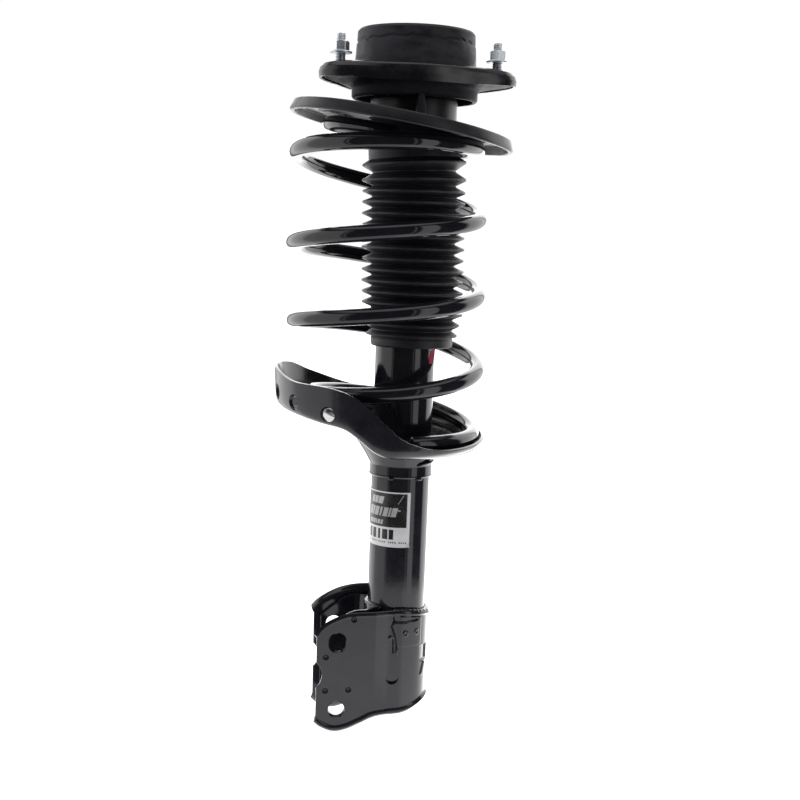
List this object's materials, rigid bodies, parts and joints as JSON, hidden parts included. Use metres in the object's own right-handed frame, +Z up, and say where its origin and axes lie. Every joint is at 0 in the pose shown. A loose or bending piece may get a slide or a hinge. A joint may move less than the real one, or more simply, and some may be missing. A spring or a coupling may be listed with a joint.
{
  "type": "suspension strut assembly",
  "caption": "Front suspension strut: damper tube with a clamp bracket for the wheel knuckle, coil spring between two seats, pleated dust boot, and a turning top mount with studs.",
  "frame": {"origin": "centre of the damper tube's closed foot, on the tube's axis", "axes": "+Z up along the damper's axis, towards the top mount; the knuckle bracket's ears reach towards -X; +Y across the two ears"},
  "size_m": [0.1924, 0.184, 0.5823],
  "materials": {
    "black_paint": "gloss black dip paint over pressed steel",
    "satin_plastic": "satin black with a fine orange-peel",
    "rubber": "matte moulded black rubber",
    "foam": "cream microcellular foam",
    "zinc_plate": "bright blue-white zinc plate",
    "chromed_rod": "ground hard chrome",
    "bright_steel": "ground bearing and valve steel",
    "dark_steel": "dark sintered or turned steel",
    "bush_plastic": "dark bearing plastic",
    "label_film": null
  },
  "bodies": {
    "strut_body": {"strut_tube": "black_paint", "base_cup": "black_paint", "tube_cap": "black_paint", "tube_label": "label_film", "pressure_tube": "bright_steel", "base_valve": "dark_steel", "rod_guide": "dark_steel", "rod_seal": "rubber", "knuckle_bracket": "black_paint", "bracket_brace": "black_paint", "lower_spring_seat": "black_paint", "seat_support_collar": "black_paint", "coil_spring": "black_paint"},
    "upper_seat": {"upper_spring_seat": "satin_plastic", "upper_spring_pad": "rubber", "bearing_lower_race": "bright_steel", "dust_boot": "rubber"},
    "mount": {"mount_plate": "black_paint", "mount_housing": "black_paint", "mount_rubber": "rubber", "mount_inner_sleeve": "dark_steel", "mount_support_plate": "dark_steel", "bearing_upper_race": "bright_steel", "stud_1": "zinc_plate", "stud_2": "zinc_plate", "stud_3": "zinc_plate", "stud_nut_1": "zinc_plate", "stud_nut_2": "zinc_plate", "stud_nut_3": "zinc_plate", "rod_washer": "zinc_plate", "rod_nut": "zinc_plate", "piston_rod": "chromed_rod", "piston": "dark_steel", "piston_band": "bush_plastic", "rebound_valve_disc": "bright_steel", "compression_valve_disc": "bright_steel", "piston_nut": "dark_steel", "rebound_stop": "bush_plastic", "bump_stop": "foam"},
    "bearing_cage": {"ball_cage": "bush_plastic", "ball_01": "bright_steel", "ball_02": "bright_steel", "ball_03": "bright_steel", "ball_04": "bright_steel", "ball_05": "bright_steel", "ball_06": "bright_steel", "ball_07": "bright_steel", "ball_08": "bright_steel", "ball_09": "bright_steel", "ball_10": "bright_steel", "ball_11": "bright_steel", "ball_12": "bright_steel"}
  },
  "joints": [
    {"name": "suspension_travel", "type": "slide", "parent": "strut_body", "child": "upper_seat", "axis": [0, 0, 1], "range_m": [-0.13, 0], "deforming": ["coil_spring", "dust_boot", "bump_stop"]},
    {"name": "steering_swivel", "type": "hinge", "parent": "upper_seat", "child": "mount", "pos_m": [0, 0, 0.52], "axis": [0, 0, 1], "range_deg": [-45, 45]},
    {"name": "cage_roll", "type": "hinge", "parent": "upper_seat", "child": "bearing_cage", "pos_m": [0, 0, 0.52], "axis": [0, 0, 1], "range_deg": [-23, 23]}
  ],
  "couplings": [
    {"joint": "cage_roll", "follows": "steering_swivel", "ratio": 0.5}
  ]
}
